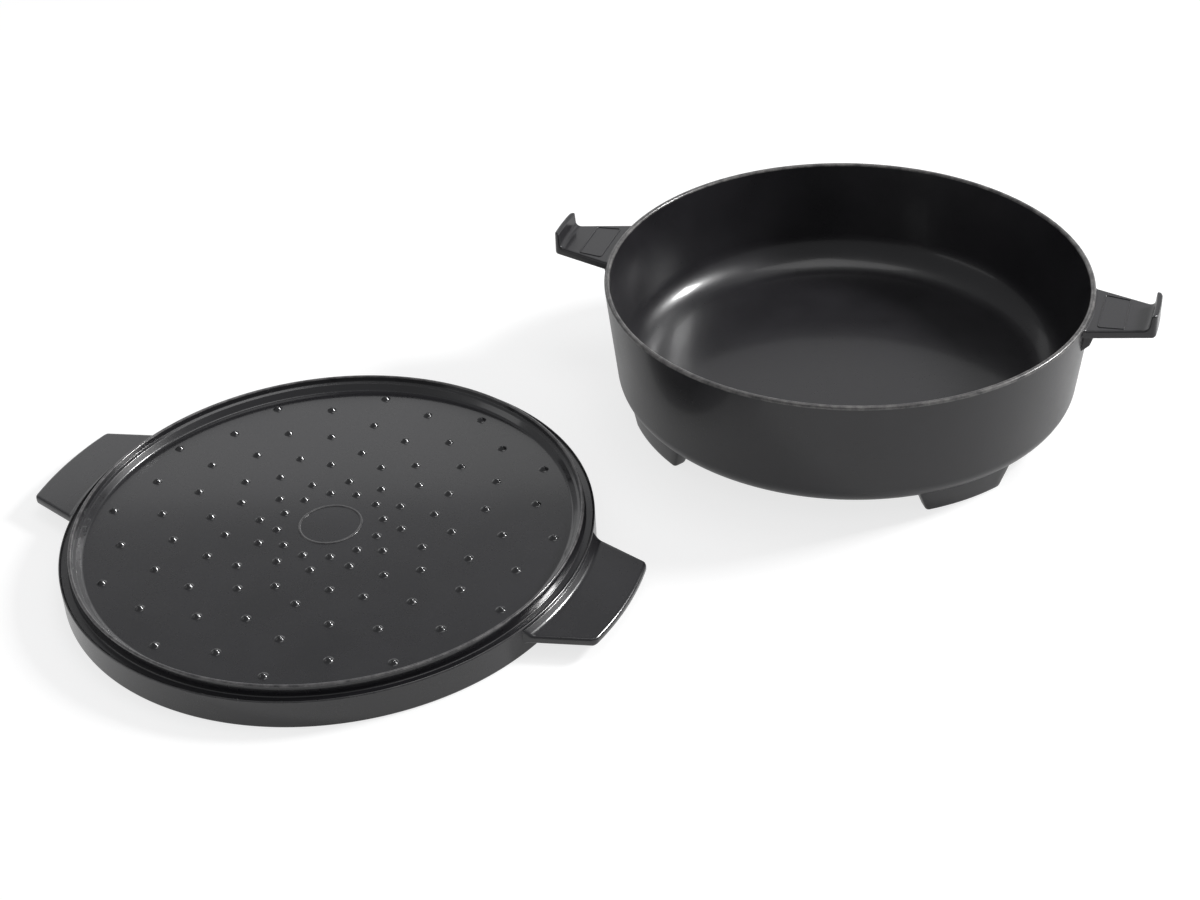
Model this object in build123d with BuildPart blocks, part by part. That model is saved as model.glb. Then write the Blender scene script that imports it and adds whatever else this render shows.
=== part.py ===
"""Round cast iron pot on four feet, with a lid that lies beside it, nub side up.

Millimetres, +Z up, table at Z = 0. The pot's two ears lie along X.
The origin is in the middle of the whole set's footprint, on the table.
"""
import os
from math import atan2, cos, degrees, pi, radians, sin, sqrt, tan

from build123d import *

# Pot, outside
rim_radius = 158
rim_height = 90
rim_wall = 3.5
rim_bevel = 1
underside_height = 12
base_radius = 150
base_round = 14
base_bands = 4

# Pot, inside
floor_height = 17
floor_radius = 144.5
floor_round = 24
floor_bands = 6

# Feet: four short arcs of a ring, wider where they meet the pot
foot_count = 4
foot_bearing = 45
foot_outer_radius = 144
foot_inner_radius = 135.5
foot_half_angle = 10.7
foot_root_height = 22
foot_root_grow = 3.5
foot_root_half_angle = 14.2
foot_bevel = 1.2

# Ears: flat, tapered, with an upturned hook along the outer edge
ear_count = 2
ear_thickness = 5.5
ear_below_rim = 2.5
ear_radius = 198.2
ear_root_radius = 140
ear_half_width = 26.2
ear_width_at = 160
side_taper = 16.2
ear_corner = 2.5
hook_thickness = 4
hook_rise = 10.3
hook_inside_round = 3.5
hook_edge_bevel = 1

# Boss under each ear, against the wall
boss_half_width = 21
boss_depth = 13
boss_reach = 161.6
boss_round = 4
boss_slope = 4.5

# Lid, lying upside down with its nubs up
lid_radius = 160
lid_wall_lean = 0.3
lid_height = 18.4
lid_shoulder_bevel = 1.2
lid_foot_bevel = 1
lid_pan_depth = 11.4
lid_pan_mouth_radius = 155.6
lid_pan_floor_radius = 148.2
lid_pan_bevel = 3.6

# Seat on the lid: a groove for the pot's rim, and a tall lip that drops inside it
groove_outer_radius = 158.4
groove_inner_radius = 154
groove_height = 17
lip_height = 24
lip_round = 1.1
lip_outer_radius = 153.4
lip_crest_radius = 152.6
lip_inner_radius = 151.6
nub_floor_height = 15.8

# Ledge inside the lip, halfway down to the nub floor
ledge_outer_radius = 151.1
ledge_outer_height = 20.5
ledge_inner_radius = 149.3
ledge_inner_height = 19.8
ledge_foot_radius = 146.6

# Nubs: 24 spokes of four, every second spoke further out
spoke_count = 24
nubs_per_spoke = 4
nub_first_radius = 31.9
nub_second_radius = 44
nub_step = 30.9
nub_base_radius = 3
nub_tip_radius = 1.1
nub_height = 1.9
nub_sides = 8

# Low ring cast in the middle of the nub floor
ring_radius = 18.6
ring_width = 1.3
ring_height = 0.45

# Tabs: two flat grips low on the lid's wall
tab_count = 2
tab_radius = 195
tab_root_radius = 140
tab_half_width = 46.5
tab_width_at = 160.7
tab_top_height = 13
tab_thickness = 5
tab_corner = 3
tab_edge_bevel = 1.1
tab_wall_fillet = 3.5
tab_wall_half_angle = 15.8

# Where the two pieces lie: the lid's centre to the pot's centre, and the lid's turn
pair_spacing = 360.4
pair_bearing = 44.9
lid_turn = -4.1

ear_top = rim_height - ear_below_rim
ear_underside = ear_top - ear_thickness
pair_x = pair_spacing * cos(radians(pair_bearing))
pair_y = pair_spacing * sin(radians(pair_bearing))
pot_x = (pair_x + tab_radius - ear_radius) / 2
pot_y = (pair_y + lid_radius - rim_radius) / 2
lid_x = pot_x - pair_x
lid_y = pot_y - pair_y
turned_x = cos(radians(lid_turn))
turned_y = sin(radians(lid_turn))
pot_place = Plane(origin=(pot_x, pot_y, 0))
lid_place = Plane(origin=(lid_x, lid_y, 0), x_dir=(turned_x, turned_y, 0))


def section_plane(place):
    """Upright plane through a piece's own axis, for a profile that is turned round it."""
    return Plane(origin=place.origin, x_dir=place.x_dir, z_dir=-place.y_dir)


def upright_axis(place):
    """The piece's own axis."""
    return Axis(place.origin, (0, 0, 1))


def near(sketch, x, y):
    """The sketch's corner nearest a point."""
    return sketch.vertices().sort_by_distance((x, y, 0))[0]


def banded_corner(before, corner, after, radius, bands):
    """Points of a rounded corner whose arc is drawn as a few straight bands."""
    point = Vector(*corner)
    to_before = (Vector(*before) - point).normalized()
    to_after = (Vector(*after) - point).normalized()
    half_opening = radians(to_before.get_angle(to_after)) / 2
    centre = point + (to_before + to_after).normalized() * (radius / sin(half_opening))
    first = point + to_before * (radius / tan(half_opening)) - centre
    last = point + to_after * (radius / tan(half_opening)) - centre
    turn = pi - 2 * half_opening
    arc = []
    for band in range(bands + 1):
        share = band / bands
        arm = (first * sin((1 - share) * turn) + last * sin(share * turn)) * (1 / sin(turn))
        arc.append((centre.X + arm.X, centre.Y + arm.Y))
    return arc


def grip_outline(root_radius, outer_radius, half_width, width_at, corner):
    """Outline of an ear or a tab: straight sides that draw in, and an outer arc."""
    slope = tan(radians(side_taper))
    root_width = half_width + (width_at - root_radius) * slope
    end_x = outer_radius
    for _ in range(4):
        end_width = half_width - (end_x - width_at) * slope
        end_x = sqrt(outer_radius**2 - end_width**2)
    with BuildSketch() as outline:
        with BuildLine():
            Polyline((end_x, end_width), (root_radius, root_width), (root_radius, -root_width),
                     (end_x, -end_width))
            ThreePointArc((end_x, -end_width), (outer_radius, 0), (end_x, end_width))
        make_face()
        fillet([near(outline, end_x, end_width), near(outline, end_x, -end_width)], radius=corner)
    return outline.sketch


def sector_points(radius, half_angle):
    """Start, middle and end of an arc that is centred on X."""
    spread = radians(half_angle)
    start = (radius * cos(spread), -radius * sin(spread))
    return start, (radius, 0), (start[0], -start[1])


def foot_sector(inner_radius, outer_radius, half_angle):
    """Outline of a foot seen from below."""
    inner = sector_points(inner_radius, half_angle)
    outer = sector_points(outer_radius, half_angle)
    with BuildSketch() as sector:
        with BuildLine():
            ThreePointArc(*inner)
            ThreePointArc(*outer)
            Line(inner[0], outer[0])
            Line(inner[2], outer[2])
        make_face()
    return sector.sketch


# Foot
with BuildPart() as foot:
    with BuildSketch(Plane.XY):
        add(foot_sector(foot_inner_radius, foot_outer_radius, foot_half_angle))
    with BuildSketch(Plane.XY.offset(foot_root_height)):
        add(foot_sector(foot_inner_radius - foot_root_grow, foot_outer_radius + foot_root_grow,
                        foot_root_half_angle))
    loft()
    chamfer(foot.faces().sort_by(Axis.Z)[0].edges(), length=foot_bevel)

# Ear with its hook and its boss
with BuildPart() as ear:
    with BuildSketch(Plane.XY.offset(ear_underside)):
        add(grip_outline(ear_root_radius, ear_radius, ear_half_width, ear_width_at, ear_corner))
    extrude(amount=ear_thickness)
    with BuildSketch(Plane.XY.offset(ear_top)):
        add(grip_outline(ear_root_radius, ear_radius, ear_half_width, ear_width_at, ear_corner))
        Circle(radius=ear_radius - hook_thickness, mode=Mode.SUBTRACT)
    extrude(amount=hook_rise)
    inside_corner = (ear.edges().filter_by(GeomType.CIRCLE).filter_by_position(Axis.Z, ear_top, ear_top)
                     .filter_by(lambda edge: abs(edge.radius - ear_radius + hook_thickness) < 0.1))
    fillet(inside_corner, radius=hook_inside_round)
    chamfer(ear.faces().sort_by(Axis.Z)[-1].edges(), length=hook_edge_bevel)
    with BuildSketch(Plane.XZ) as boss_section:
        with BuildLine():
            Polyline((ear_root_radius, ear_underside), (boss_reach + boss_round, ear_underside),
                     (boss_reach, ear_underside - boss_round),
                     (boss_reach - 1, ear_underside - boss_depth + boss_slope),
                     (boss_reach - boss_slope - 1, ear_underside - boss_depth),
                     (ear_root_radius, ear_underside - boss_depth), close=True)
        make_face()
    extrude(amount=boss_half_width, both=True)

# Pot: one casting of bowl, ears and feet
with BuildPart(pot_place) as pot:
    with BuildSketch(section_plane(pot_place)):
        with BuildLine():
            Polyline((0, underside_height),
                     *banded_corner((0, underside_height), (base_radius, underside_height),
                                    (rim_radius, rim_height), base_round, base_bands),
                     (rim_radius, rim_height), (0, rim_height), close=True)
        make_face()
    revolve(axis=upright_axis(pot_place))
    with PolarLocations(0, foot_count, start_angle=foot_bearing):
        add(foot.part)
    with PolarLocations(0, ear_count):
        add(ear.part)
    with BuildSketch(section_plane(pot_place)):
        with BuildLine():
            Polyline((0, floor_height),
                     *banded_corner((0, floor_height), (floor_radius, floor_height),
                                    (rim_radius - rim_wall, rim_height), floor_round, floor_bands),
                     (rim_radius - rim_wall, rim_height),
                     (rim_radius - rim_wall, rim_height + hook_rise), (0, rim_height + hook_rise), close=True)
        make_face()
    revolve(axis=upright_axis(pot_place), mode=Mode.SUBTRACT)
    rim_edges = pot.edges().filter_by(GeomType.CIRCLE).filter_by_position(Axis.Z, rim_height, rim_height)
    chamfer(rim_edges, length=rim_bevel)
pot.part.label = "pot"

# Tab
with BuildPart() as tab:
    with BuildSketch(Plane.XY.offset(tab_top_height - tab_thickness)):
        add(grip_outline(tab_root_radius, tab_radius, tab_half_width, tab_width_at, tab_corner))
    extrude(amount=tab_thickness)
    chamfer(tab.edges().filter_by(Axis.Z, reverse=True).filter_by_position(Axis.X, lid_radius - 6, tab_radius),
            length=tab_edge_bevel)
    hollow_point = tab_wall_fillet * (1 - sqrt(0.5))
    with BuildSketch(Plane.XZ) as wall_fillet:
        with BuildLine():
            Polyline((tab_root_radius, tab_top_height), (lid_radius + tab_wall_fillet, tab_top_height),
                     (lid_radius + hollow_point, tab_top_height + hollow_point),
                     (lid_radius - lid_wall_lean, tab_top_height + tab_wall_fillet),
                     (tab_root_radius, tab_top_height + tab_wall_fillet), close=True)
        make_face()
    for way in (-1, 1):
        revolve(wall_fillet.sketch, axis=Axis.Z, revolution_arc=way * tab_wall_half_angle)

# Nub: a low cone with a blunt tip, with eight sides because there are many
with BuildPart() as nub:
    with BuildSketch(Plane.XY):
        RegularPolygon(radius=nub_base_radius, side_count=nub_sides)
    side_draw = (nub_base_radius - nub_tip_radius) * cos(pi / nub_sides)
    extrude(amount=nub_height, taper=degrees(atan2(side_draw, nub_height)))

# Lid: one casting of pan, seat, nubs and tabs
with BuildPart(lid_place) as lid:
    with BuildSketch(section_plane(lid_place)) as disc:
        with BuildLine():
            Polyline((0, 0), (lid_radius, 0), (lid_radius - lid_wall_lean, lid_height - lid_shoulder_bevel),
                     (groove_outer_radius, lid_height), (groove_outer_radius, groove_height),
                     (groove_inner_radius, groove_height), (lip_outer_radius, lip_height - lip_round),
                     (lip_crest_radius, lip_height), (lip_inner_radius, lip_height - lip_round),
                     (ledge_outer_radius, ledge_outer_height), (ledge_inner_radius, ledge_inner_height),
                     (ledge_foot_radius, nub_floor_height), (0, nub_floor_height), close=True)
        make_face()
        chamfer(near(disc, lid_radius, 0), length=lid_foot_bevel)
    revolve(axis=upright_axis(lid_place))
    with PolarLocations(0, tab_count):
        add(tab.part)
    with BuildSketch(section_plane(lid_place)) as pan:
        with BuildLine():
            Polyline((0, 0), (lid_pan_mouth_radius, 0), (lid_pan_floor_radius, lid_pan_depth),
                     (0, lid_pan_depth), close=True)
        make_face()
        chamfer(near(pan, lid_pan_floor_radius, lid_pan_depth), length=lid_pan_bevel)
    revolve(axis=upright_axis(lid_place), mode=Mode.SUBTRACT)
    with BuildSketch(section_plane(lid_place)) as ring:
        with Locations((ring_radius, nub_floor_height)):
            Trapezoid(ring_width, 2 * ring_height, 60)
    revolve(axis=upright_axis(lid_place))
    for first_radius, first_spoke in ((nub_first_radius, 0), (nub_second_radius, 1)):
        for place_in_spoke in range(nubs_per_spoke):
            nub_radius = first_radius + place_in_spoke * nub_step
            start = first_spoke * 360 / spoke_count
            with Locations((0, 0, nub_floor_height)):
                with PolarLocations(nub_radius, spoke_count // 2, start_angle=start):
                    add(nub.part)
lid.part.label = "lid"

os.makedirs("parts", exist_ok=True)
export_step(pot.part, "parts/pot.step")
export_step(lid.part, "parts/lid.step")
for piece in (pot.part, lid.part):
    print(piece.label, "volume", round(piece.volume / 1000), "cm3", piece.bounding_box())
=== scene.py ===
# %% [markdown]
# # A low cast iron pot and its lid
# The real set is two black castings on a white table. The pot stands on four short feet and
# has two flat ears with hooks. The lid lies beside it with its underside up, which shows a
# field of small drip nubs and the stepped seat that fits the pot's rim.
# Each step below first says what the thing is, then builds it in metres, in the same frame
# as the solid model, so nothing has to be fitted afterwards.

# %% Start: load the frame and note its size
from math import asin, cos, pi, radians, sin, sqrt, tan

import bmesh
import bpy
from mathutils import Matrix, Vector


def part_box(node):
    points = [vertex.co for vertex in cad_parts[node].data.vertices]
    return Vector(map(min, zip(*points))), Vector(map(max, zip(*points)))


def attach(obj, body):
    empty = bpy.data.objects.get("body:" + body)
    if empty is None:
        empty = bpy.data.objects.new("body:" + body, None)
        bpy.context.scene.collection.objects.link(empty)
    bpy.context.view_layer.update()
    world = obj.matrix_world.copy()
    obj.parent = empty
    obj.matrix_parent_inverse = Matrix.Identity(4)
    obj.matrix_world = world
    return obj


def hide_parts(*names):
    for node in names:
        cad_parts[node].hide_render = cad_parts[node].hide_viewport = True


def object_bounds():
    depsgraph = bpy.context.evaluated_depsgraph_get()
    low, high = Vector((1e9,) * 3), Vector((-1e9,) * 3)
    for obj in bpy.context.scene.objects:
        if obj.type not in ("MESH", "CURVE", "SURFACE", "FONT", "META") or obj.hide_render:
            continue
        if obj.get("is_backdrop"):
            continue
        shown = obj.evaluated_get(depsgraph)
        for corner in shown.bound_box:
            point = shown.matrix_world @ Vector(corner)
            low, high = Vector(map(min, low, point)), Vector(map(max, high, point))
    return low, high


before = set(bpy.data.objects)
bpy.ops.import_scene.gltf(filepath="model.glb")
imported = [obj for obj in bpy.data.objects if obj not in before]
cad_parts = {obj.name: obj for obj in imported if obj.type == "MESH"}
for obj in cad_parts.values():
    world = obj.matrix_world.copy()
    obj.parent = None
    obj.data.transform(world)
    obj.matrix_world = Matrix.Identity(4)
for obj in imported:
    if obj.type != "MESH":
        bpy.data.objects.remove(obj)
cad_low, cad_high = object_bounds()
mm = 0.001
merge_distance = 0.01 * mm
print("solid model", [round(v, 4) for v in cad_low], [round(v, 4) for v in cad_high])

# %% [markdown]
# ## Where the two castings lie
# The pot and the lid touch the same table, about four centimetres apart. Their centres come
# from the boxes of the solids: the pot's ears and the lid's tabs reach equally far on both
# sides, so the middle of each box is the casting's own axis. The lid is turned a little.


# %% Centres of the pot and the lid
def box_centre(node):
    low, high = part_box(node)
    return Vector(((low.x + high.x) / 2, (low.y + high.y) / 2, 0))


pot_centre = box_centre("pot")
lid_centre = box_centre("lid")
lid_turn = radians(-4.1)
print("pot axis", pot_centre, "lid axis", lid_centre)

# %% [markdown]
# ## The camera
# A photograph is easier to match when the camera comes first. Its place and lens were found
# by a fit, mainly to the two rims and bases, which are taken as circles. The ears, the ring
# and the nubs counted for less in it, and are a few pixels off. The frame is rolled by two
# degrees, so the camera's axes are built by hand from where it looks, and then turned. The
# camera's shift is there because the picture seems to be a crop of a larger one.

# %% Camera at the photograph's angle
eye = Vector((0.3684, -0.9468, 0.7226))
target = Vector((-0.0166, 0.1124, 0.0))
roll = radians(-2.107)
look = (target - eye).normalized()
level = look.cross(Vector((0, 0, 1))).normalized()
upright = level.cross(look)
right = level * cos(roll) + upright * sin(roll)
up = upright * cos(roll) - level * sin(roll)
camera_data = bpy.data.cameras.new("camera")
camera_data.lens = 58.40
camera_data.sensor_width = 36
camera_data.shift_x, camera_data.shift_y = -0.0297, -0.0677
camera_data.clip_end = 50
camera = bpy.data.objects.new("camera", camera_data)
bpy.context.scene.collection.objects.link(camera)
camera.matrix_world = Matrix.Translation(eye) @ Matrix((right, up, -look)).transposed().to_4x4()
bpy.context.scene.camera = camera
print("camera", eye, "lens", camera_data.lens)

# %% [markdown]
# ## Small helpers for meshes
# Every finished piece ends the same way: doubles are merged, the faces are turned outwards,
# and the surface is shaded smooth. `solid` does that for a list of points and faces.


# %% Helper: a finished mesh from points and faces
def solid(name, points, faces):
    """A closed mesh with its faces turned outwards and shaded smooth."""
    mesh = bpy.data.meshes.new(name)
    mesh.from_pydata(points, [], faces)
    return tidy(mesh)


def tidy(mesh):
    """Merges doubles, turns the faces outwards, shades them smooth and counts open edges."""
    work = bmesh.new()
    work.from_mesh(mesh)
    bmesh.ops.remove_doubles(work, verts=work.verts, dist=merge_distance)
    bmesh.ops.dissolve_degenerate(work, edges=work.edges, dist=merge_distance / 10)
    bmesh.ops.recalc_face_normals(work, faces=work.faces)
    for face in work.faces:
        face.smooth = True
    open_edges = sum(1 for edge in work.edges if not edge.is_manifold)
    work.to_mesh(mesh)
    work.free()
    print(mesh.name, len(mesh.vertices), "points,", open_edges, "open edges")
    return mesh


def piece(name, mesh):
    """An object at the origin that shows this mesh."""
    made = bpy.data.objects.new(name, mesh)
    bpy.context.scene.collection.objects.link(made)
    return made


# %% [markdown]
# ## Sections with rounded corners
# A casting has no sharp corner, because sand and iron both round it. So a section is written
# as its few corners, each with the radius that rounds it, and one function draws the arcs.
# It also adds a point just beside each arc. That keeps the flat stretches flat when the
# surface is shaded smooth, because a smooth normal is shared between neighbours.


# %% Helper: round the corners of a section
def rounded(corners, closed=False, step=9):
    """Points along straight runs joined by arcs. A corner is (across, up, radius, mask), where the mask marks
    rubbed edges and paints a highlight on them.
    """
    points = []
    count = len(corners)
    for i, (x, z, radius, wear_and_highlight) in enumerate(corners):
        if (not closed and i in (0, count - 1)) or radius == 0:
            points.append((x, z, wear_and_highlight))
            continue
        corner = Vector((x, z))
        to_last = (Vector(corners[i - 1][:2]) - corner).normalized()
        to_next = (Vector(corners[(i + 1) % count][:2]) - corner).normalized()
        opening = to_last.angle(to_next)
        reach = radius / tan(opening / 2)
        centre = corner + (to_last + to_next).normalized() * (radius / sin(opening / 2))
        start, end = corner + to_last * reach, corner + to_next * reach
        points.append((*(start + to_last * min(0.25, radius * 0.2)), 0))
        turn = pi - opening
        steps = max(3, round(turn / radians(step)))
        a, b = start - centre, end - centre
        for k in range(steps + 1):
            share = k / steps
            arm = (a * sin((1 - share) * turn) + b * sin(share * turn)) / sin(turn)
            points.append((*(centre + arm), wear_and_highlight))
        points.append((*(end + to_next * min(0.25, radius * 0.2)), 0))
    return points


print("a quarter arc gives", len(rounded([(0, 0, 0, 0), (10, 0, 3, 0), (10, 10, 0, 0)])), "points")

# %% [markdown]
# ## A lathe in Geometry Nodes
# The bowl and the lid are turned shapes: one section carried round an axis. Blender's Screw
# modifier could do it, and so could Spin. Here a node tree does it, because it also carries
# the section's mask of wear and painted highlight round. It lays out a grid with one row for
# each point of the section, bends the grid into a ring, and merges the seam and the point on the axis.


# %% Helper: start a node tree with named inputs
def start_tree(name, inputs):
    tree = bpy.data.node_groups.new(name, "GeometryNodeTree")
    tree.interface.new_socket("Geometry", in_out="OUTPUT", socket_type="NodeSocketGeometry")
    tree.interface.new_socket("Geometry", in_out="INPUT", socket_type="NodeSocketGeometry")
    for label, kind in inputs:
        tree.interface.new_socket(label, in_out="INPUT", socket_type="NodeSocket" + kind)
    return tree, tree.nodes.new("NodeGroupInput"), tree.nodes.new("NodeGroupOutput")


def node(tree, kind, inputs=(), **settings):
    """Adds a node, sets its options, and joins or fills its inputs by name or number."""
    made = tree.nodes.new(kind)
    for key, value in settings.items():
        setattr(made, key, value)
    for key, value in dict(inputs).items():
        if isinstance(value, bpy.types.NodeSocket):
            tree.links.new(value, made.inputs[key])
        else:
            made.inputs[key].default_value = value
    return made


def math_node(tree, operation, a, b=None):
    inputs = {0: a} if b is None else {0: a, 1: b}
    return node(tree, "ShaderNodeMath", inputs, operation=operation).outputs[0]


def apply_tree(name, mesh, tree, values):
    """Runs a node tree on a mesh and returns the result as a plain object."""
    base = piece(name, mesh)
    modifier = base.modifiers.new("nodes", "NODES")
    modifier.node_group = tree
    for item in tree.interface.items_tree:
        if item.in_out == "INPUT" and item.name in values:
            modifier[item.identifier] = values[item.name]
    depsgraph = bpy.context.evaluated_depsgraph_get()
    result = bpy.data.meshes.new_from_object(base.evaluated_get(depsgraph))
    base.modifiers.remove(modifier)
    base.data = result
    result.name = name
    tidy(result)
    return base


print("helpers ready")

# %% The lathe tree
lathe, given, out = start_tree(
    "turn_on_lathe", [("Steps Round", "Int"), ("Centre", "Vector"), ("Finish", "Material")])
size = node(lathe, "GeometryNodeAttributeDomainSize",
            {"Geometry": given.outputs["Geometry"]}, component="MESH")
rows = size.outputs["Point Count"]
columns = math_node(lathe, "ADD", given.outputs["Steps Round"], 1)
grid = node(lathe, "GeometryNodeMeshGrid", {"Vertices X": columns, "Vertices Y": rows})
index = node(lathe, "GeometryNodeInputIndex").outputs[0]
row = math_node(lathe, "MODULO", index, rows)
column = math_node(lathe, "FLOOR", math_node(lathe, "DIVIDE", index, rows))
turn = math_node(lathe, "MULTIPLY", math_node(lathe, "DIVIDE", column, given.outputs["Steps Round"]), 2 * pi)
section_point = node(lathe, "GeometryNodeSampleIndex", {"Geometry": given.outputs["Geometry"], "Index": row},
                     data_type="FLOAT_VECTOR", domain="POINT")
lathe.links.new(node(lathe, "GeometryNodeInputPosition").outputs[0], section_point.inputs["Value"])
section_wear_and_highlight = node(lathe, "GeometryNodeSampleIndex", {"Geometry": given.outputs["Geometry"], "Index": row},
                    data_type="FLOAT", domain="POINT")
wear_and_highlight_of = node(lathe, "GeometryNodeInputNamedAttribute", {"Name": "wear_and_highlight"}, data_type="FLOAT")
lathe.links.new(wear_and_highlight_of.outputs["Attribute"], section_wear_and_highlight.inputs["Value"])
parts = node(lathe, "ShaderNodeSeparateXYZ", {0: section_point.outputs["Value"]})
place = node(lathe, "ShaderNodeCombineXYZ", {
    "X": math_node(lathe, "MULTIPLY", parts.outputs["X"], math_node(lathe, "COSINE", turn)),
    "Y": math_node(lathe, "MULTIPLY", parts.outputs["X"], math_node(lathe, "SINE", turn)),
    "Z": parts.outputs["Z"]})
centred = node(lathe, "ShaderNodeVectorMath",
               {0: place.outputs[0], 1: given.outputs["Centre"]}, operation="ADD")
kept = node(lathe, "GeometryNodeStoreNamedAttribute",
            {"Geometry": grid.outputs["Mesh"], "Name": "wear_and_highlight", "Value": section_wear_and_highlight.outputs["Value"]},
            data_type="FLOAT", domain="POINT")
bent = node(lathe, "GeometryNodeSetPosition", {"Geometry": kept.outputs[0], "Position": centred.outputs[0]})
merged = node(lathe, "GeometryNodeMergeByDistance", {"Geometry": bent.outputs[0], "Distance": merge_distance})
whole = node(lathe, "GeometryNodeRealizeInstances", {0: merged.outputs[0]})
finished = node(lathe, "GeometryNodeSetMaterial",
                {"Geometry": whole.outputs[0], "Material": given.outputs["Finish"]})
lathe.links.new(finished.outputs[0], out.inputs["Geometry"])


def turned(name, section, centre, finish, steps=288):
    """A section in millimetres, as (radius, height, mask), carried round an axis. The mask marks rubbed edges
    and paints a highlight on them.
    """
    line = bpy.data.meshes.new(name + "_section")
    line.from_pydata([(x * mm, 0, z * mm) for x, z, _ in section], [], [])
    line.attributes.new("wear_and_highlight", "FLOAT", "POINT").data.foreach_set("value", [w for _, _, w in section])
    return apply_tree(name, line, lathe, {"Steps Round": steps, "Centre": centre, "Finish": finish})


print("lathe tree has", len(lathe.nodes), "nodes")

# %% [markdown]
# ## The finish: black enamel on iron
# The real surface is a satin black enamel. It is not flat paint: the sand of the mould leaves
# a very fine grain, and the gloss is a little uneven in patches. Rims and ridges are worn, and
# they also get a painted highlight: a pale grey along them that stands in for the light they
# catch. Three effects are shared by both castings, so each is a node group with its own inputs.
# The shaders themselves stay in the two materials.


# %% Helper: start a shader group
def start_group(name, inputs, outputs):
    group = bpy.data.node_groups.new(name, "ShaderNodeTree")
    for label, kind, value in inputs:
        socket = group.interface.new_socket(label, in_out="INPUT", socket_type="NodeSocket" + kind)
        if value is not None:
            socket.default_value = value
    for label, kind in outputs:
        group.interface.new_socket(label, in_out="OUTPUT", socket_type="NodeSocket" + kind)
    return group, group.nodes.new("NodeGroupInput"), group.nodes.new("NodeGroupOutput")


def remap(tree, value, low, high, new_low, new_high):
    made = node(tree, "ShaderNodeMapRange", {0: value, 1: low, 2: high, 3: new_low, 4: new_high})
    return made.outputs[0]


def noise(tree, vector, scale, detail=3.0, rough=0.55):
    made = node(tree, "ShaderNodeTexNoise",
                {"Vector": vector, "Scale": scale, "Detail": detail, "Roughness": rough})
    return made.outputs["Fac"]


# %% Casting grain: a fine bump and soft patches
grain, given, out = start_group(
    "casting_grain",
    [("Vector", "Vector", None), ("Grain Per Metre", "Float", 900.0), ("Patches Per Metre", "Float", 22.0)],
    [("Height", "Float"), ("Patches", "Float"), ("Flecks", "Float")])
fine = noise(grain, given.outputs["Vector"], given.outputs["Grain Per Metre"], 4.0, 0.6)
coarse_scale = math_node(grain, "MULTIPLY", given.outputs["Grain Per Metre"], 0.28)
coarse = noise(grain, given.outputs["Vector"], coarse_scale, 2.0)
height = math_node(grain, "ADD", math_node(grain, "MULTIPLY", fine, 0.65),
                   math_node(grain, "MULTIPLY", coarse, 0.35))
patches = noise(grain, given.outputs["Vector"], given.outputs["Patches Per Metre"], 3.0)
cells = node(grain, "ShaderNodeTexVoronoi",
             {"Vector": given.outputs["Vector"],
              "Scale": math_node(grain, "MULTIPLY", given.outputs["Grain Per Metre"], 0.45)})
flecks = remap(grain, cells.outputs["Distance"], 0.0, 0.22, 1.0, 0.0)
grain.links.new(height, out.inputs["Height"])
grain.links.new(remap(grain, patches, 0.32, 0.68, 0.0, 1.0), out.inputs["Patches"])
grain.links.new(flecks, out.inputs["Flecks"])
print("grain group", len(grain.nodes), "nodes")

# %% Edge wear and painted highlight: the mask of the mesh, broken up by noise
edge_wear_and_highlight, given, out = start_group(
    "edge_wear_and_highlight",
    [("Vector", "Vector", None), ("Mask", "Float", 0.0), ("Breaks Per Metre", "Float", 160.0),
     ("Amount", "Float", 0.6)],
    [("Wear And Highlight", "Float")])
breaks = noise(edge_wear_and_highlight, given.outputs["Vector"], given.outputs["Breaks Per Metre"], 5.0, 0.65)
broken = remap(edge_wear_and_highlight, breaks, 0.38, 0.62, 0.25, 1.0)
worn_and_highlit = math_node(edge_wear_and_highlight, "MULTIPLY", math_node(edge_wear_and_highlight, "MULTIPLY", given.outputs["Mask"], broken),
                 given.outputs["Amount"])
edge_wear_and_highlight.links.new(worn_and_highlit, out.inputs["Wear And Highlight"])
print("edge wear group", len(edge_wear_and_highlight.nodes), "nodes")

# %% Faint dust: pale specks that lie on upward faces
dust, given, out = start_group(
    "faint_dust",
    [("Vector", "Vector", None), ("Specks Per Metre", "Float", 240.0), ("Amount", "Float", 0.3)],
    [("Dust", "Float")])
normal = node(dust, "ShaderNodeNewGeometry").outputs["Normal"]
facing_up = remap(dust, node(dust, "ShaderNodeSeparateXYZ", {0: normal}).outputs["Z"], 0.5, 1.0, 0.0, 1.0)
specks = node(dust, "ShaderNodeTexVoronoi",
              {"Vector": given.outputs["Vector"], "Scale": given.outputs["Specks Per Metre"]})
spots = remap(dust, specks.outputs["Distance"], 0.02, 0.10, 1.0, 0.0)
thin = remap(dust, noise(dust, given.outputs["Vector"], 14.0, 2.0), 0.45, 0.7, 0.0, 1.0)
lying = math_node(dust, "MULTIPLY", math_node(dust, "MULTIPLY", spots, thin), facing_up)
dust.links.new(math_node(dust, "MULTIPLY", lying, given.outputs["Amount"]), out.inputs["Dust"])
print("dust group", len(dust.nodes), "nodes")


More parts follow.
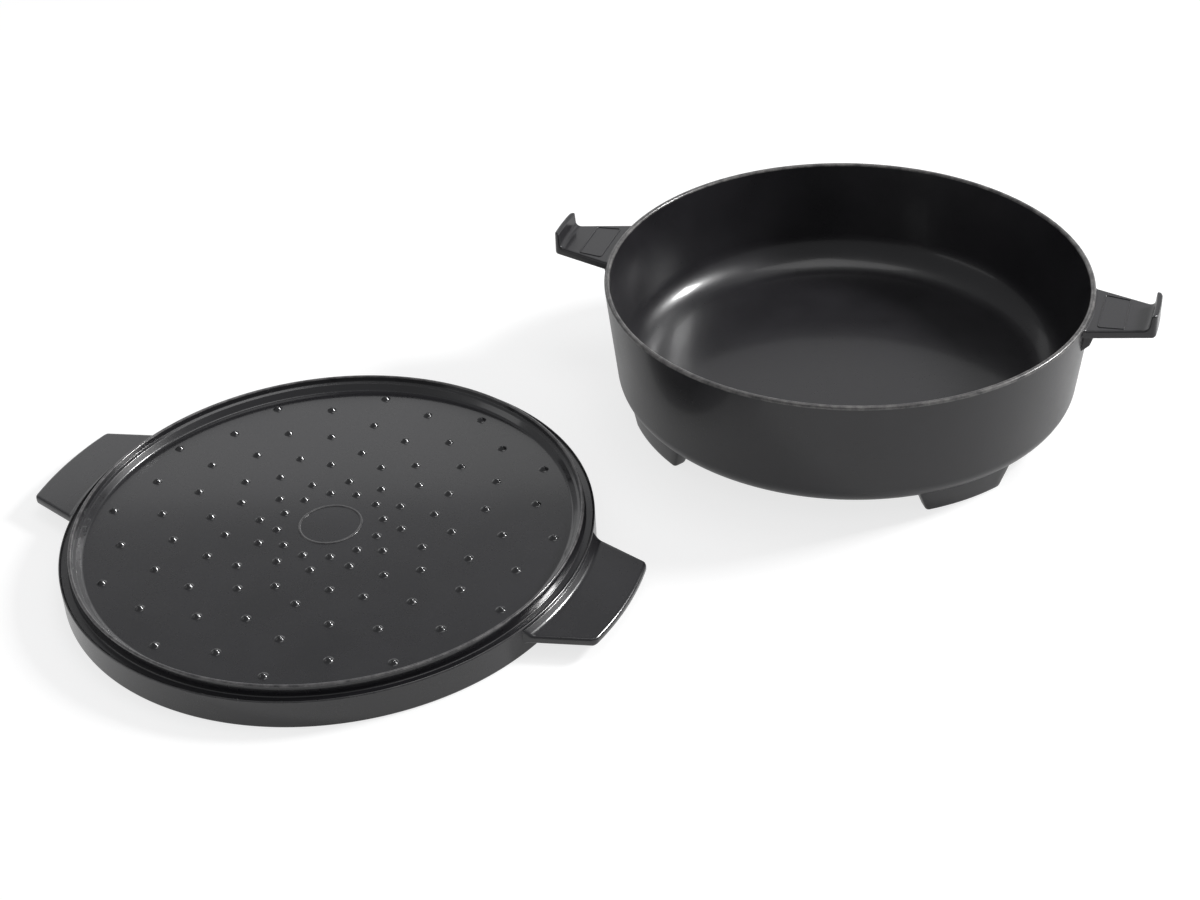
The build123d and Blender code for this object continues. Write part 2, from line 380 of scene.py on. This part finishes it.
# %% The two enamels
def enamel(name, colour, worn_and_highlit_colour, roughness, grain_size, bump, wear_and_highlight_amount, dust_amount, coat):
    """Satin black enamel.

    roughness holds that of its glossiest and its dullest patches, and coat holds the weight
    and the roughness of the thin clear glaze on top.
    """
    material = bpy.data.materials.new(name)
    material.use_nodes = True
    tree = material.node_tree
    shader = tree.nodes["Principled BSDF"]
    where = node(tree, "ShaderNodeTexCoord").outputs["Object"]
    sand = node(tree, "ShaderNodeGroup", node_tree=grain)
    wear_and_highlight = node(tree, "ShaderNodeGroup", node_tree=edge_wear_and_highlight)
    film = node(tree, "ShaderNodeGroup", node_tree=dust)
    for group in (sand, wear_and_highlight, film):
        tree.links.new(where, group.inputs["Vector"])
    sand.inputs["Grain Per Metre"].default_value = grain_size
    mask = node(tree, "ShaderNodeAttribute", attribute_name="wear_and_highlight")
    tree.links.new(mask.outputs["Fac"], wear_and_highlight.inputs["Mask"])
    wear_and_highlight.inputs["Amount"].default_value = wear_and_highlight_amount
    film.inputs["Amount"].default_value = dust_amount
    tone = node(tree, "ShaderNodeMix", {0: sand.outputs["Patches"]}, data_type="RGBA")
    tone.inputs[6].default_value = [c * 0.86 for c in colour] + [1]
    tone.inputs[7].default_value = [c * 1.14 for c in colour] + [1]
    # Rubbed rims and ridges are mixed to a pale grey: real wear, and a painted highlight along them.
    bare_and_highlit = node(tree, "ShaderNodeMix", {0: wear_and_highlight.outputs["Wear And Highlight"], 6: tone.outputs[2]}, data_type="RGBA")
    bare_and_highlit.inputs[7].default_value = [*worn_and_highlit_colour, 1]
    dusted = node(tree, "ShaderNodeMix", {0: film.outputs["Dust"], 6: bare_and_highlit.outputs[2]}, data_type="RGBA")
    dusted.inputs[7].default_value = (0.20, 0.19, 0.18, 1)
    tree.links.new(dusted.outputs[2], shader.inputs["Base Color"])
    satin = remap(tree, sand.outputs["Patches"], 0, 1, *roughness)
    flecked = math_node(tree, "SUBTRACT", satin, math_node(tree, "MULTIPLY", sand.outputs["Flecks"], 0.07))
    tree.links.new(math_node(tree, "ADD", flecked, math_node(tree, "MULTIPLY", film.outputs["Dust"], 0.3)),
                   shader.inputs["Roughness"])
    shader.inputs["Coat Weight"].default_value, shader.inputs["Coat Roughness"].default_value = coat
    relief = node(tree, "ShaderNodeBump",
                  {"Strength": bump, "Distance": 0.2 * mm, "Height": sand.outputs["Height"]})
    tree.links.new(relief.outputs["Normal"], shader.inputs["Normal"])
    return material


# The pot's black is a lighter copy of the enamel and the lid's a darker one: painted light on the pot,
# painted shade on the lid.
pot_enamel = enamel(
    "pot_enamel", colour=(0.017, 0.0163, 0.0188), worn_and_highlit_colour=(0.30, 0.29, 0.28),
    roughness=(0.30, 0.37), grain_size=900, bump=0.25, wear_and_highlight_amount=0.55, dust_amount=0.05, coat=(0.35, 0.11))
lid_enamel = enamel(
    "lid_enamel", colour=(0.0095, 0.009, 0.0112), worn_and_highlit_colour=(0.26, 0.25, 0.25),
    roughness=(0.25, 0.32), grain_size=800, bump=0.20, wear_and_highlight_amount=0.50, dust_amount=0.08, coat=(1.0, 0.09))
print("materials", pot_enamel.name, lid_enamel.name)

# %% [markdown]
# ## The bowl
# The bowl flares slightly from a rounded base to a thin rim, and its floor turns up into the
# wall in a wide soft corner, which is what draws the bright crescent in the photograph.
# The section goes from the axis along the underside, up the outside, over the rim, down the
# inside and back to the axis along the floor.

# %% Bowl
rim_radius, rim_height, rim_wall, rim_round = 158, 90, 3.5, 1.5
underside, base_radius, base_round = 12, 150, 14
floor_height, floor_radius, floor_round = 17, 144.5, 24
# The last number of each corner marks rubbed edges: real wear and a painted highlight, here on the rim.
bowl_section = rounded([
    (0, underside, 0, 0), (base_radius, underside, base_round, 0),
    (rim_radius, rim_height, rim_round, 1), (rim_radius - rim_wall, rim_height, rim_round, 1),
    (floor_radius, floor_height, floor_round, 0), (0, floor_height, 0, 0)], step=6)
bowl = turned("bowl", bowl_section, pot_centre, pot_enamel)
print("bowl", len(bowl_section), "points in the section")

# %% [markdown]
# ## Ears and tabs
# The pot's ears and the lid's tabs are the same kind of shape: a radial section that is
# carried across, between two straight sides that draw in, with its outer edge on an arc
# about the casting's axis. So one function makes both. Near each side the section shrinks
# along a quarter circle, which rounds the long edges as a casting's are rounded.


# %% Helper: a grip carried across between two tapering sides
def inset(corners, amount):
    """The corners of a closed anticlockwise section, with every side moved inwards."""
    moved = []
    for i, (x, z, radius) in enumerate(corners):
        here = Vector((x, z))
        came = (here - Vector(corners[i - 1][:2])).normalized()
        goes = (Vector(corners[(i + 1) % len(corners)][:2]) - here).normalized()
        bend = came.x * goes.y - came.y * goes.x
        inward = Vector((-came.y - goes.y, came.x + goes.x)).normalized()
        reach = amount / inward.dot(Vector((-came.y, came.x)))
        changed = radius - amount if bend > 0 else radius + amount
        moved.append((*(here + inward * reach), max(changed, 0.05) if radius else 0))
    return moved


def side_at(radius, half_width, width_at, taper):
    """Half the grip's width where its side meets a circle about the axis."""
    x = radius
    for _ in range(6):
        width = half_width - (x - width_at) * tan(taper)
        x = sqrt(max(radius**2 - width**2, 1))
    return width


def quarter(radius, distance):
    """How far a rounded edge has drawn back at a distance from the side."""
    return radius - sqrt(radius**2 - (radius - distance) ** 2) if distance < radius else 0


def grip(name, corners, half_width, width_at, taper, edge, corner=0.0, rows=24):
    """A grip along +X about the origin, in millimetres. The section runs anticlockwise."""
    reach = max(x for x, _, _ in corners)
    zone = corner * 1.4
    near_side = [edge * (1 - cos(radians(15 * k))) for k in range(7)]
    near_side += [edge + (3 * corner + 2 - edge) * k / 8 for k in range(1, 9)]
    stations = [(-1, back) for back in near_side]
    stations += [(-1 + 2 * k / rows, None) for k in range(1, rows)]
    stations += [(1, back) for back in reversed(near_side)]
    points, faces = [], []
    for share, back in stations:
        shrink = 0 if back is None else quarter(edge, back)
        drawn = 0 if back is None or not corner else max(0, quarter(corner, back) - shrink)
        section = outline(inset(corners, shrink))
        for radius, z in section:
            full = side_at(radius, half_width, width_at, taper)
            ends = full - near_side[-1]
            y = share * ends if back is None else share * (full - back)
            pulled = radius - drawn * min(1, max(0, (radius - reach + zone) / zone)) if drawn else radius
            points.append((sqrt(radius**2 - y**2) * pulled / radius * mm, y * mm, z * mm))
    size = len(section)
    for r in range(len(stations) - 1):
        for c in range(size):
            d = (c + 1) % size
            faces.append((r * size + c, r * size + d, (r + 1) * size + d, (r + 1) * size + c))
    faces.append(list(range(size))[::-1])
    faces.append([(len(stations) - 1) * size + c for c in range(size)])
    return solid(name, points, faces)


def outline(corners):
    """A closed line through rounded corners, each given as (across, up, radius)."""
    return [(x, z) for x, z, _ in rounded([(*corner, 0) for corner in corners], True, 15)]


grip_taper = radians(16.2)
ear_half_width, ear_width_at = 26.2, 160
hook_width = 2 * side_at(198, ear_half_width, ear_width_at, grip_taper)
print("an ear is", round(hook_width, 1), "mm wide at its hook")

# %% [markdown]
# ## Copies about an axis
# Feet, ears and tabs repeat round the middle of their casting. A small node tree puts a
# copy on each point of a circle and turns it to face outwards.

# %% The copies tree
ring_tree, given, out = start_tree(
    "copies_round_axis",
    [("Copies", "Int"), ("First Bearing", "Float"), ("Centre", "Vector"), ("Finish", "Material")])
dots = node(ring_tree, "GeometryNodePoints", {"Count": given.outputs["Copies"]})
number = node(ring_tree, "GeometryNodeInputIndex").outputs[0]
share = math_node(ring_tree, "DIVIDE", math_node(ring_tree, "MULTIPLY", number, 2 * pi),
                  given.outputs["Copies"])
bearing = math_node(ring_tree, "ADD", share, given.outputs["First Bearing"])
facing = node(ring_tree, "ShaderNodeCombineXYZ", {"Z": bearing})
put = node(ring_tree, "GeometryNodeInstanceOnPoints",
           {"Points": dots.outputs[0], "Instance": given.outputs["Geometry"], "Rotation": facing.outputs[0]})
moved = node(ring_tree, "GeometryNodeTransform",
             {"Geometry": put.outputs[0], "Translation": given.outputs["Centre"]})
real = node(ring_tree, "GeometryNodeRealizeInstances", {0: moved.outputs[0]})
coated = node(ring_tree, "GeometryNodeSetMaterial",
              {"Geometry": real.outputs[0], "Material": given.outputs["Finish"]})
ring_tree.links.new(coated.outputs[0], out.inputs["Geometry"])


def repeated(name, mesh, copies, first, centre, finish):
    """Copies of a mesh round an axis, as one object."""
    return apply_tree(name, mesh, ring_tree,
                      {"Copies": copies, "First Bearing": first, "Centre": centre, "Finish": finish})


print("copies tree has", len(ring_tree.nodes), "nodes")

# %% [markdown]
# ## The ears with their hooks
# An ear is a flat plate a little below the rim, and its outer edge turns up in a hook for a
# lid lifter or a mitt. Under it a boss runs down the wall. The section starts inside the
# wall, so the ear grows out of the bowl, and the corner inside the hook is a soft fillet.

# %% Ears
ear_top, ear_under, ear_reach, hook_top = 87.5, 82.0, 198.2, 97.8
ear_corners = [
    (154.8, ear_under, 0), (ear_reach, ear_under, 1.5), (ear_reach - 0.2, hook_top, 1.5),
    (ear_reach - 3.6, hook_top, 1.3), (ear_reach - 4.3, ear_top, 3.6), (159.0, ear_top, 1.2),
    (157.4, ear_top + 0.8, 0), (155.4, ear_top + 0.6, 0)]
ear = grip("ear", ear_corners, ear_half_width, ear_width_at, grip_taper, edge=1.25, corner=2.6)
ears = repeated("ears", ear, 2, 0, pot_centre, pot_enamel)

# %% Bosses under the ears
boss_corners = [
    (153.4, ear_under - 14.0, 0), (155.9, ear_under - 13.4, 1.0), (160.6, ear_under - 8.4, 3),
    (161.7, ear_under - 4, 3), (162.3, ear_under, 3.4), (167.0, ear_under, 0),
    (167.0, ear_under + 1.2, 0), (154.9, ear_under + 1.2, 0)]
boss_half_width = 21
boss = grip("boss", boss_corners, boss_half_width, ear_width_at, taper=0, edge=0.9)
bosses = repeated("bosses", boss, 2, 0, pot_centre, pot_enamel)
print("ears and bosses", len(ears.data.polygons) + len(bosses.data.polygons), "faces")

# %% [markdown]
# ## The plates on the ears
# Each ear carries a thin raised frame. It is a bead: a low half-round section carried along
# a rounded rectangle. The field inside it stays bare.


# %% Helper: a bead along a closed line
def bead(name, line, width, height, z, sink=0.3):
    """A low rounded bead along a closed line in millimetres."""
    profile = []
    for k in range(9):
        lean = pi * k / 8
        profile.append((cos(lean) * width / 2, sin(lean) * height))
    profile += [(-width / 2, -sink), (width / 2, -sink)]
    points, faces = [], []
    count, size = len(line), len(profile)
    for i, (x, y) in enumerate(line):
        before, after = Vector(line[i - 1]), Vector(line[(i + 1) % count])
        along = (after - before).normalized()
        for across, rise in profile:
            points.append(((x + along.y * across) * mm, (y - along.x * across) * mm, (z + rise) * mm))
    for i in range(count):
        j = (i + 1) % count
        for c in range(size):
            d = (c + 1) % size
            faces.append((i * size + c, j * size + c, j * size + d, i * size + d))
    return solid(name, points, faces)


frame_line = outline([(162.8, -20, 1.5), (178.5, -18, 1.5), (178.5, 18, 1.5), (162.8, 20, 1.5)])
plate_frame = bead("plate_frame", frame_line, width=1.0, height=0.5, z=ear_top)
plate_frames = repeated("plate_frames", plate_frame, 2, 0, pot_centre, pot_enamel)
print("plate frames", len(frame_line), "points along each")

# %% [markdown]
# ## The feet
# Four short feet lift the pot off the table. Each is a piece of a ring that widens as it
# meets the base. It is built in layers from the table up: the lowest layers shrink along a
# quarter circle, and the last one ends inside the iron of the base.


# %% Feet
def foot_layer(inner, outer, half_angle, corner):
    """Outline of a foot seen from above, with rounded corners."""
    spread = radians(half_angle)
    line = []
    inner_corners = asin(corner / inner)
    outer_corners = asin(corner / outer)
    for k in range(13):
        a = -(spread - outer_corners) + 2 * (spread - outer_corners) * k / 12
        line.append((outer * cos(a), outer * sin(a)))
    line.append(((outer - corner * 0.3) * cos(spread - outer_corners * 0.3),
                 (outer - corner * 0.3) * sin(spread - outer_corners * 0.3)))
    line.append(((outer - corner) * cos(spread), (outer - corner) * sin(spread)))
    line.append(((inner + corner) * cos(spread), (inner + corner) * sin(spread)))
    line.append(((inner + corner * 0.3) * cos(spread - inner_corners * 0.3),
                 (inner + corner * 0.3) * sin(spread - inner_corners * 0.3)))
    for k in range(13):
        a = (spread - inner_corners) - 2 * (spread - inner_corners) * k / 12
        line.append((inner * cos(a), inner * sin(a)))
    mirrored = [(x, -y) for x, y in line[13:17]]
    return line + mirrored[::-1]


foot_round, foot_top, foot_root, foot_corner = 1.4, 18.0, 22.0, 1.6
foot_inner, foot_outer, foot_middle = 135.5, 144, 140
foot_half_angle, foot_grow = 10.7, 3.5
wall_layers = 7
layers = []
for k in range(5, -1, -1):
    lean = radians(18 * k)
    layers.append((foot_round * (1 - sin(lean)), foot_round * (1 - cos(lean))))
for k in range(1, wall_layers + 1):
    layers.append((foot_round + (foot_top - foot_round) * k / wall_layers, 0))
points, faces = [], []
for height, shrink in layers:
    grow = foot_grow * height / foot_root
    half_angle = foot_half_angle + foot_grow * height / foot_root - shrink / foot_middle * 180 / pi
    for x, y in foot_layer(foot_inner - grow + shrink, foot_outer + grow - shrink, half_angle, foot_corner):
        points.append((x * mm, y * mm, height * mm))
size = len(points) // len(layers)
for r in range(len(layers) - 1):
    for c in range(size):
        d = (c + 1) % size
        faces.append((r * size + c, r * size + d, (r + 1) * size + d, (r + 1) * size + c))
faces.append(list(range(size))[::-1])
faces.append([(len(layers) - 1) * size + c for c in range(size)])
feet = repeated("feet", solid("foot", points, faces), 4, radians(45), pot_centre, pot_enamel)
print("feet", len(layers), "layers each")

# %% [markdown]
# ## The lid's disc
# The lid lies with its underside up. From the middle outwards it has a flat field, a low
# ledge, a lip that drops inside the pot's rim when the lid is on, a groove for the rim, and
# a rounded outer edge. Under it, against the table, is a shallow pan, which isn't seen in
# the photograph and is guessed.

# %% Disc
field = 15.8
lip_top, groove, shoulder, pan_floor = 24, 17, 18.4, 11.4
# The last number of each corner marks rubbed edges: real wear and a painted highlight, on the lip, the
# shoulder and the ledge.
disc_section = rounded([
    # the flat field and the ledge round it
    (0, field, 0, 0), (146.6, field, 1.8, 0), (149.3, 19.8, 0.7, 0.25), (151.0, 20.5, 0.6, 0),
    # the lip, the groove for the rim, and the shoulder outside it
    (151.5, lip_top, 0.85, 1), (153.35, lip_top, 0.85, 1), (154.0, groove, 0.7, 0),
    (158.4, groove, 0.4, 0), (158.5, shoulder, 0.4, 0.6), (159.75, shoulder, 1.0, 0.2),
    # down the wall to the table, and back along the pan
    (159.95, 0, 1.2, 0), (155.6, 0, 1.2, 0), (148.2, pan_floor, 6, 0), (0, pan_floor, 0, 0)], step=9)
disc = turned("disc", disc_section, lid_centre, lid_enamel)
print("disc", len(disc_section), "points in the section")

# %% [markdown]
# ## The lid's tabs
# Two wide tabs stand out low on the lid's wall. A hollow fillet joins each to the wall.

# %% Tabs
tab_reach, tab_under, tab_top = 195, 8.0, 13.0
tab_half_width, tab_width_at = 46.4, 160.7
tab_corners = [
    (156, 7.6, 0), (159.0, 7.2, 0), (160.6, 7.2, 0), (162.0, tab_under, 1.2),
    (tab_reach, tab_under, 1.9), (tab_reach, tab_top, 1.9),
    (163.4, tab_top, 3.4), (160.1, 16.6, 0.5), (156, 16.8, 0)]
tab = grip("tab", tab_corners, tab_half_width, tab_width_at, grip_taper, edge=1.7, corner=3, rows=40)
tabs = repeated("tabs", tab, 2, lid_turn, lid_centre, lid_enamel)

# %% [markdown]
# ## The nub field
# Ninety-six nubs let steam gather and drip evenly. They stand on twenty-four spokes, four on
# each, and every second spoke starts further out. That is a rule, so a node tree places
# them: it makes one point for each nub and works out its spoke and its place on the spoke.


# %% One nub
def nub_mesh(rise=2.2, sides=20):
    """A blunt cone that flares into the field."""
    profile = [(3.4, -0.06), (3.0, 0.03), (2.6, 0.2), (2.25, 0.5), (1.85, 0.95), (1.45, 1.4), (1.1, 1.79),
               (0.75, 2.04), (0.4, 2.16)]
    points = [(0, 0, rise * mm)]
    for radius, z in profile[::-1]:
        for k in range(sides):
            a = 2 * pi * k / sides
            points.append((radius * cos(a) * mm, radius * sin(a) * mm, z * mm))
    faces = [(0, 1 + k, 1 + (k + 1) % sides) for k in range(sides)]
    for r in range(len(profile) - 1):
        for k in range(sides):
            a, b = 1 + r * sides + k, 1 + r * sides + (k + 1) % sides
            faces.append((a, a + sides, b + sides, b))
    last = 1 + (len(profile) - 1) * sides
    faces.append([last + k for k in range(sides)])
    return solid("nub", points, faces)


nub = nub_mesh()

# %% The nub tree
nub_tree, given, out = start_tree("nub_field", [
    ("Spokes", "Int"), ("Nubs Per Spoke", "Int"), ("First Radius", "Float"), ("Second Radius", "Float"),
    ("Step", "Float"), ("Field Height", "Float"), ("Turn", "Float"), ("Centre", "Vector"),
    ("Finish", "Material")])
total = math_node(nub_tree, "MULTIPLY", given.outputs["Spokes"], given.outputs["Nubs Per Spoke"])
dots = node(nub_tree, "GeometryNodePoints", {"Count": total})
number = node(nub_tree, "GeometryNodeInputIndex").outputs[0]
spoke = math_node(nub_tree, "FLOOR", math_node(nub_tree, "DIVIDE", number, given.outputs["Nubs Per Spoke"]))
on_spoke = math_node(nub_tree, "MODULO", number, given.outputs["Nubs Per Spoke"])
odd = math_node(nub_tree, "MODULO", spoke, 2)
gap = math_node(nub_tree, "SUBTRACT", given.outputs["Second Radius"], given.outputs["First Radius"])
later_start = math_node(nub_tree, "MULTIPLY", odd, gap)
along_spoke = math_node(nub_tree, "MULTIPLY", on_spoke, given.outputs["Step"])
reach = math_node(nub_tree, "ADD", given.outputs["First Radius"],
                  math_node(nub_tree, "ADD", later_start, along_spoke))
angle = math_node(nub_tree, "ADD", given.outputs["Turn"], math_node(nub_tree, "DIVIDE",
                  math_node(nub_tree, "MULTIPLY", spoke, 2 * pi), given.outputs["Spokes"]))
spot = node(nub_tree, "ShaderNodeCombineXYZ", {
    "X": math_node(nub_tree, "MULTIPLY", reach, math_node(nub_tree, "COSINE", angle)),
    "Y": math_node(nub_tree, "MULTIPLY", reach, math_node(nub_tree, "SINE", angle)),
    "Z": given.outputs["Field Height"]})
from_centre = node(nub_tree, "ShaderNodeVectorMath",
                   {0: spot.outputs[0], 1: given.outputs["Centre"]}, operation="ADD")
laid = node(nub_tree, "GeometryNodeSetPosition",
            {"Geometry": dots.outputs[0], "Position": from_centre.outputs[0]})
stood = node(nub_tree, "GeometryNodeInstanceOnPoints",
             {"Points": laid.outputs[0], "Instance": given.outputs["Geometry"]})
real = node(nub_tree, "GeometryNodeRealizeInstances", {0: stood.outputs[0]})
coated = node(nub_tree, "GeometryNodeSetMaterial",
              {"Geometry": real.outputs[0], "Material": given.outputs["Finish"]})
nub_tree.links.new(coated.outputs[0], out.inputs["Geometry"])
nubs = apply_tree("nubs", nub, nub_tree, {
    "Spokes": 24, "Nubs Per Spoke": 4,
    "First Radius": 31.9 * mm, "Second Radius": 44.0 * mm, "Step": 30.9 * mm,
    "Field Height": field * mm, "Turn": lid_turn, "Centre": lid_centre, "Finish": lid_enamel})
print("nub field", len(nubs.data.polygons), "faces")

# %% [markdown]
# ## The ring in the middle of the lid
# A fine cast line marks the centre. It is a very low bead, turned on the same lathe.

# %% Centre ring
ring_radius, ring_half, ring_rise = 18.6, 0.85, 0.5
# The ring's crest gets half the mask of rubbed edges: real wear and a painted highlight.
ring_foot, ring_wear_and_highlight = field - 0.3, 0.5
ring_section = [(ring_radius + ring_half, ring_foot, 0)]
for k in range(9):
    lean = pi * k / 8
    ring_section.append((ring_radius + ring_half * cos(lean), field + ring_rise * sin(lean), ring_wear_and_highlight))
ring_section += [(ring_radius - ring_half, ring_foot, 0), (ring_radius + ring_half, ring_foot, 0)]
centre_ring = turned("centre_ring", ring_section, lid_centre, lid_enamel, steps=128)

# %% [markdown]
# ## Who moves with what
# The pot stays on the table. Each piece rides on the body of its own casting, and the fine
# bowl and disc stand for the two solids.

# %% Bodies and replaced solids
for made in (bowl, ears, bosses, plate_frames, feet):
    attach(made, "pot")
for made in (disc, tabs, nubs, centre_ring):
    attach(made, "lid")
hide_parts("pot")
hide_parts("lid")

# %% [markdown]
# ## The table and the light
# The picture has a white table and soft shadows. The table is a plain diffuse sheet that
# keeps the shadows, and adds a share of white for the camera, and less of it for reflections.
# The lamps are four panels: a small bright key to the right and behind, which puts a spark on
# each nub, a wide one behind, one overhead, and a weak one low at the front left.


# %% Table
def white_table():
    """A diffuse sheet that looks whiter to the camera than to the light."""
    material = bpy.data.materials.new("white_table")
    material.use_nodes = True
    tree = material.node_tree
    tree.nodes.clear()
    seen = node(tree, "ShaderNodeLightPath")
    mirrored = math_node(tree, "MAXIMUM", seen.outputs["Is Glossy Ray"], seen.outputs["Is Transmission Ray"])
    direct = math_node(tree, "MAXIMUM", seen.outputs["Is Camera Ray"], mirrored)
    matt = node(tree, "ShaderNodeBsdfDiffuse", {"Color": (0.36, 0.36, 0.36, 1)})
    pale = node(tree, "ShaderNodeBsdfDiffuse", {"Color": (0.85, 0.85, 0.85, 1)})
    strength = remap(tree, seen.outputs["Is Camera Ray"], 0, 1, 0.38, 0.75)
    glow = node(tree, "ShaderNodeEmission", {"Color": (1, 1, 1, 1), "Strength": strength})
    shown = node(tree, "ShaderNodeAddShader", {0: matt.outputs[0], 1: glow.outputs[0]})
    mixed = node(tree, "ShaderNodeMixShader", {0: direct, 1: pale.outputs[0], 2: shown.outputs[0]})
    node(tree, "ShaderNodeOutputMaterial", {"Surface": mixed.outputs[0]})
    return material


half = 6.0
table_mesh = bpy.data.meshes.new("table")
table_corners = [(-half, -half, 0), (half, -half, 0), (half, half, 0), (-half, half, 0)]
table_mesh.from_pydata(table_corners, [], [(0, 1, 2, 3)])
table_mesh.materials.append(white_table())
table = piece("table", table_mesh)
table.location.z = -0.0002
table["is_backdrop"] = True
print("table", 2 * half, "m wide")

# %% World and lamps
world = bpy.data.worlds.new("white_room")
bpy.context.scene.world = world
world.use_nodes = True
sky = world.node_tree
sky.nodes.clear()
seen = node(sky, "ShaderNodeLightPath")
dim = node(sky, "ShaderNodeBackground", {"Color": (0.97, 0.98, 1, 1), "Strength": 0.29})
white = node(sky, "ShaderNodeBackground", {"Color": (1, 1, 1, 1), "Strength": 1.0})
mixed = node(sky, "ShaderNodeMixShader",
             {0: seen.outputs["Is Camera Ray"], 1: dim.outputs[0], 2: white.outputs[0]})
node(sky, "ShaderNodeOutputWorld", {"Surface": mixed.outputs[0]})


def panel(name, place, aim, width, height, power):
    """A soft panel that faces a point."""
    lamp = bpy.data.lights.new(name, "AREA")
    lamp.shape = "RECTANGLE"
    lamp.size, lamp.size_y, lamp.energy = width, height, power
    made = bpy.data.objects.new(name, lamp)
    bpy.context.scene.collection.objects.link(made)
    made.location = place
    made.rotation_mode = "QUATERNION"
    made.rotation_quaternion = (Vector(aim) - Vector(place)).to_track_quat("-Z", "Y")
    return made


panel("overhead", (0.2, 0.4, 2.2), (0, 0, 0), 1.2, 1.0, 6)
panel("key", (1.5, 1.05, 1.3), (0, 0, 0), 0.42, 0.42, 44)
panel("backdrop", (-1.1, 3.0, 1.15), (0, 0, 0.1), 4.6, 2.1, 14)
panel("front", (-1.6, -1.2, 0.5), (0, 0, 0), 1.4, 0.6, 2)
bpy.context.scene.view_settings.view_transform = "Standard"

# %% [markdown]
# ## The size against the solid model
# The box of the visual model is set against that of the solid one, and the difference is printed in
# millimetres.

low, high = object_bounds()
beyond = [round((a - b) * 1000, 2) for a, b in zip((*low, *high), (*cad_low, *cad_high))]
print("visual less solid, mm", beyond)
